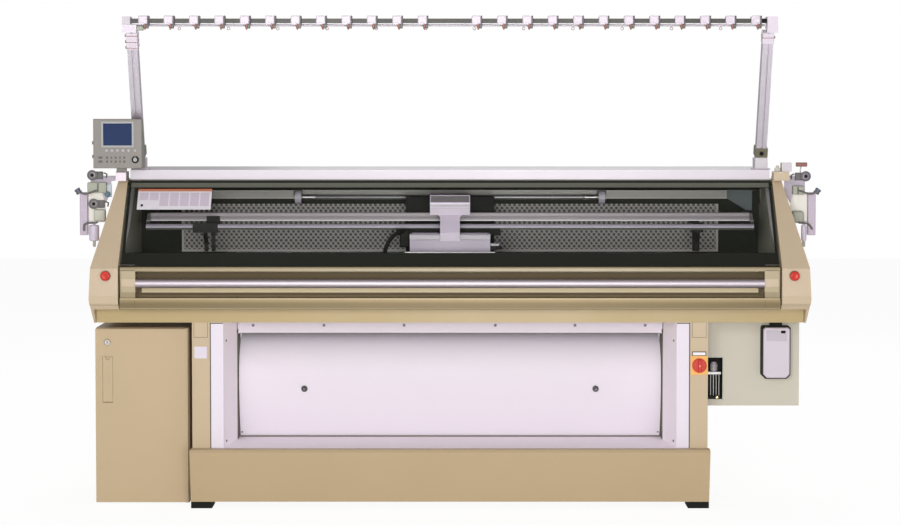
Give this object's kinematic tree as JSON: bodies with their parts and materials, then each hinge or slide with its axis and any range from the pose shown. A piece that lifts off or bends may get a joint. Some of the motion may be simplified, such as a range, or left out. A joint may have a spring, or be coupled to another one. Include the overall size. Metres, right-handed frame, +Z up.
{
  "type": "flat knitting machine",
  "caption": "Free-standing computerised flat knitting machine: two needle beds under a glazed hood, a sliding carriage, a yarn rail on top and a control panel.",
  "frame": {"origin": "on the floor under the middle of the machine", "axes": "+X along the needle beds to the operator's right, +Y to the back, +Z up"},
  "size_m": [3.2846, 0.868, 2.1282],
  "materials": {
    "cover_cream": "satin",
    "panel_white": "satin",
    "hood_black": "gloss",
    "window": "clear",
    "channel_gold": "anodised",
    "bed_steel": "ground",
    "rail_steel": "ground",
    "carriage_silver": "satin",
    "dark_plastic": "matt",
    "panel_grey": "satin",
    "display_glass": "gloss",
    "key_white": "matt",
    "stop_red": "gloss",
    "switch_yellow": "satin",
    "service_grey": "satin",
    "lint_grey": "satin",
    "olive": "satin",
    "post_aluminium": "anodised",
    "tension_white": "satin",
    "belt_rubber": "matt",
    "lamp_white": "frosted",
    "board_green": "matt",
    "valve_brass": "satin",
    "lamp_grey": "satin",
    "motor_black": "satin"
  },
  "bodies": {
    "frame": {"left_leg": "cover_cream", "right_leg": "cover_cream", "levelling_feet": "dark_plastic", "main_beam": "cover_cream", "kick_panel": "cover_cream", "chute_liner": "panel_white", "belly_panel": "panel_white", "cabinet_body": "cover_cream", "control_rack": "board_green", "service_box": "service_grey", "valve_bank": "valve_brass", "lint_case": "lint_grey", "switch_plate": "switch_yellow", "front_channel": "channel_gold", "left_side_cover": "cover_cream", "right_side_cover": "cover_cream", "yarn_table": "panel_white", "rear_cover": "cover_cream", "back_wall": "panel_white", "perforated_screen": "lamp_grey", "front_needle_bed": "bed_steel", "rear_needle_bed": "bed_steel", "yarn_rails": "rail_steel", "drive_belt": "belt_rubber", "drive_motor": "motor_black", "lamp_tube": "lamp_white", "lamp_channel": "lamp_grey", "left_post": "post_aluminium", "right_post": "post_aluminium", "top_rail": "olive", "tension_units": "tension_white", "left_tension_plate": "tension_white", "right_tension_plate": "tension_white"},
    "operation_bar": {"operation_bar": "rail_steel"},
    "left_stop": {"left_stop_button": "stop_red"},
    "right_stop": {"right_stop_button": "stop_red"},
    "hood": {"hood_frame": "hood_black", "hood_window": "window"},
    "switch_knob": {"main_switch_knob": "stop_red"},
    "door": {"cabinet_door": "cover_cream"},
    "handle": {"door_handle": "dark_plastic"},
    "carriage": {"front_carriage": "carriage_silver", "rear_carriage": "motor_black", "carriage_bridge": "carriage_silver"},
    "carrier_1": {"yarn_carrier_1": "dark_plastic"},
    "carrier_2": {"yarn_carrier_2": "dark_plastic"},
    "carrier_3": {"yarn_carrier_3": "dark_plastic"},
    "carrier_4": {"yarn_carrier_4": "dark_plastic"},
    "roller": {"take_down_roller": "belt_rubber"},
    "drive_wheel": {"drive_pulley": "rail_steel"},
    "idler_wheel": {"idler_pulley": "rail_steel"},
    "panel_foot": {"panel_mount": "panel_grey"},
    "panel": {"panel_housing": "panel_grey", "panel_screen": "display_glass", "panel_keys": "key_white"},
    "dial": {"panel_dial": "dark_plastic"},
    "left_top_arm": {"left_upper_arm": "dark_plastic"},
    "left_foot_arm": {"left_lower_arm": "dark_plastic"},
    "right_top_arm": {"right_upper_arm": "dark_plastic"},
    "right_foot_arm": {"right_lower_arm": "dark_plastic"}
  },
  "joints": [
    {"name": "hood_hinge", "type": "hinge", "parent": "frame", "child": "hood", "pos_m": [0, -0.12076, 1.395], "axis": [-1, 0, 0], "range_deg": [0, 65]},
    {"name": "bar_turn", "type": "hinge", "parent": "frame", "child": "operation_bar", "pos_m": [0, -0.392, 0.98], "axis": [1, 0, 0], "range_deg": [-15, 15], "stiffness_Nm_per_rad": 3},
    {"name": "left_stop_press", "type": "slide", "parent": "frame", "child": "left_stop", "axis": [0, 1, 0], "range_m": [0, 0.005], "stiffness_N_per_m": 1500},
    {"name": "right_stop_press", "type": "slide", "parent": "frame", "child": "right_stop", "axis": [0, 1, 0], "range_m": [0, 0.005], "stiffness_N_per_m": 1500},
    {"name": "main_switch_turn", "type": "hinge", "parent": "frame", "child": "switch_knob", "pos_m": [1.074, -0.334, 0.621], "axis": [0, 1, 0], "range_deg": [0, 90]},
    {"name": "door_hinge", "type": "hinge", "parent": "frame", "child": "door", "pos_m": [-1.1482, -0.1965, 0.384], "axis": [0, 0, 1], "range_deg": [0, 85]},
    {"name": "handle_hinge", "type": "hinge", "parent": "door", "child": "handle", "pos_m": [-1.4965, -0.2055, 0.451], "axis": [1, 0, 0], "range_deg": [0, 60], "stiffness_Nm_per_rad": 0.2},
    {"name": "carriage_travel", "type": "slide", "parent": "frame", "child": "carriage", "axis": [1, 0, 0], "range_m": [-1.1, 1.1]},
    {"name": "carrier_1_travel", "type": "slide", "parent": "frame", "child": "carrier_1", "axis": [1, 0, 0], "range_m": [-0.19, 2.3]},
    {"name": "carrier_2_travel", "type": "slide", "parent": "frame", "child": "carrier_2", "axis": [1, 0, 0], "range_m": [-2.35, 0.2]},
    {"name": "carrier_3_travel", "type": "slide", "parent": "frame", "child": "carrier_3", "axis": [1, 0, 0], "range_m": [-0.23, 2.3]},
    {"name": "carrier_4_travel", "type": "slide", "parent": "frame", "child": "carrier_4", "axis": [1, 0, 0], "range_m": [-2.3, 0.21]},
    {"name": "roller_turn", "type": "hinge", "parent": "frame", "child": "roller", "pos_m": [0, -0.04, 0.8365], "axis": [1, 0, 0], "continuous": true},
    {"name": "drive_pulley_turn", "type": "hinge", "parent": "frame", "child": "drive_wheel", "pos_m": [-1.33, 0.204, 1.01], "axis": [0, 1, 0], "range_deg": [-2150, 2150]},
    {"name": "idler_pulley_turn", "type": "hinge", "parent": "frame", "child": "idler_wheel", "pos_m": [1.33, 0.204, 1.01], "axis": [0, 1, 0], "range_deg": [-2150, 2150]},
    {"name": "panel_swivel", "type": "hinge", "parent": "frame", "child": "panel_foot", "pos_m": [-1.438, -0.112, 1.412], "axis": [0, 0, 1], "range_deg": [-30, 0]},
    {"name": "panel_tilt", "type": "hinge", "parent": "panel_foot", "child": "panel", "pos_m": [-1.438, -0.16, 1.458], "axis": [1, 0, 0], "range_deg": [-4, 9]},
    {"name": "dial_turn", "type": "hinge", "parent": "panel", "child": "dial", "pos_m": [-1.3735, -0.1875, 1.504], "axis": [0, 1, 0], "range_deg": [-150, 150]},
    {"name": "left_upper_arm_swing", "type": "hinge", "parent": "frame", "child": "left_top_arm", "pos_m": [-1.559, -0.101, 1.366], "axis": [0, 1, 0], "range_deg": [-20, 20], "stiffness_Nm_per_rad": 0.05},
    {"name": "left_lower_arm_swing", "type": "hinge", "parent": "frame", "child": "left_foot_arm", "pos_m": [-1.559, -0.101, 1.224], "axis": [0, 1, 0], "range_deg": [-20, 20], "stiffness_Nm_per_rad": 0.05},
    {"name": "right_upper_arm_swing", "type": "hinge", "parent": "frame", "child": "right_top_arm", "pos_m": [1.539, -0.101, 1.366], "axis": [0, 1, 0], "range_deg": [-20, 20], "stiffness_Nm_per_rad": 0.05},
    {"name": "right_lower_arm_swing", "type": "hinge", "parent": "frame", "child": "right_foot_arm", "pos_m": [1.539, -0.101, 1.224], "axis": [0, 1, 0], "range_deg": [-20, 20], "stiffness_Nm_per_rad": 0.05}
  ],
  "couplings": [
    {"joint": "drive_pulley_turn", "follows": "carriage_travel", "rad_per_m": 33.333},
    {"joint": "idler_pulley_turn", "follows": "carriage_travel", "rad_per_m": 33.333}
  ]
}
